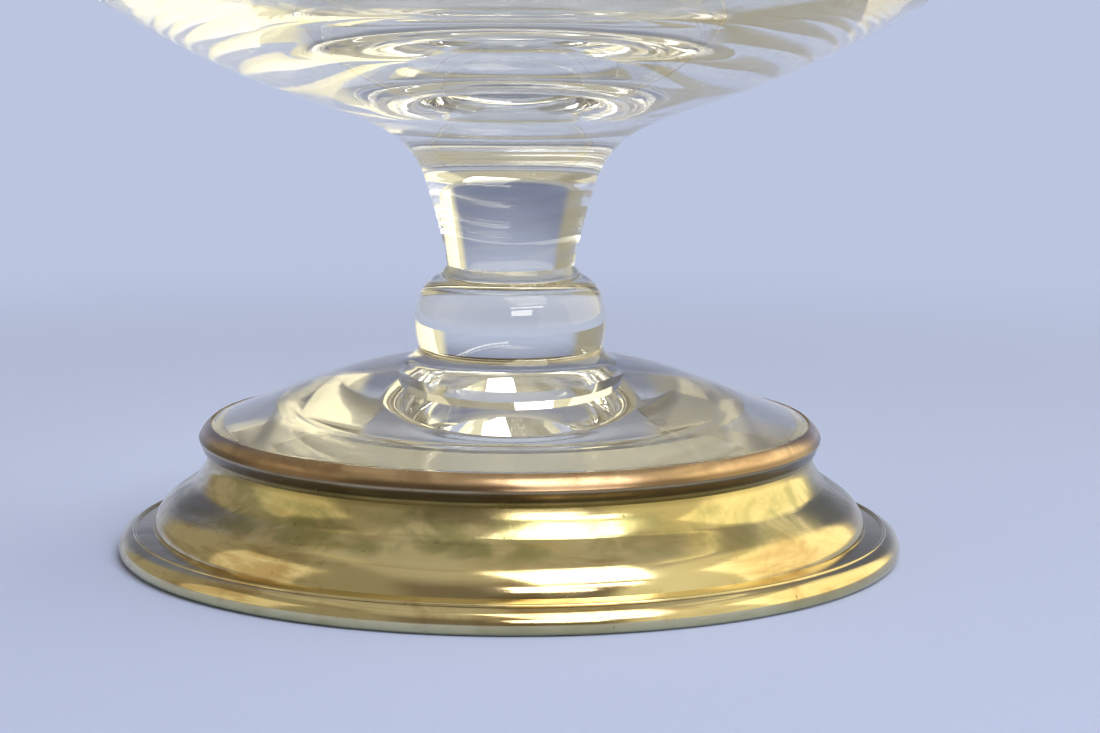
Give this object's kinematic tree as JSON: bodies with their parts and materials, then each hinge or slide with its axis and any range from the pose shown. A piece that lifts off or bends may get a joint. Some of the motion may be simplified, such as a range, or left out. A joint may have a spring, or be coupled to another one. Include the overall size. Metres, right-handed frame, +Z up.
{
  "type": "footed glass compote",
  "caption": "Wide shallow clear glass bowl on a knopped stem, its coned glass foot gripped by a stepped, spun metal base with a rolled rim.",
  "frame": {"origin": "centre of the flat ring that the base stands on", "axes": "+Z up along the axis of the stem and bowl; the object is round, so +X and +Y are any two level directions"},
  "size_m": [0.2036, 0.2036, 0.1291],
  "materials": {
    "clear_glass": "clear, fire polished, lightly dusty on the foot",
    "base_metal": "polished silver-gilt tone with brown and green tarnish",
    "cement": "matt"
  },
  "bodies": {
    "root": {"glass_compote": "clear_glass", "foot_mount": "base_metal", "setting_cement": "cement"}
  },
  "joints": []
}
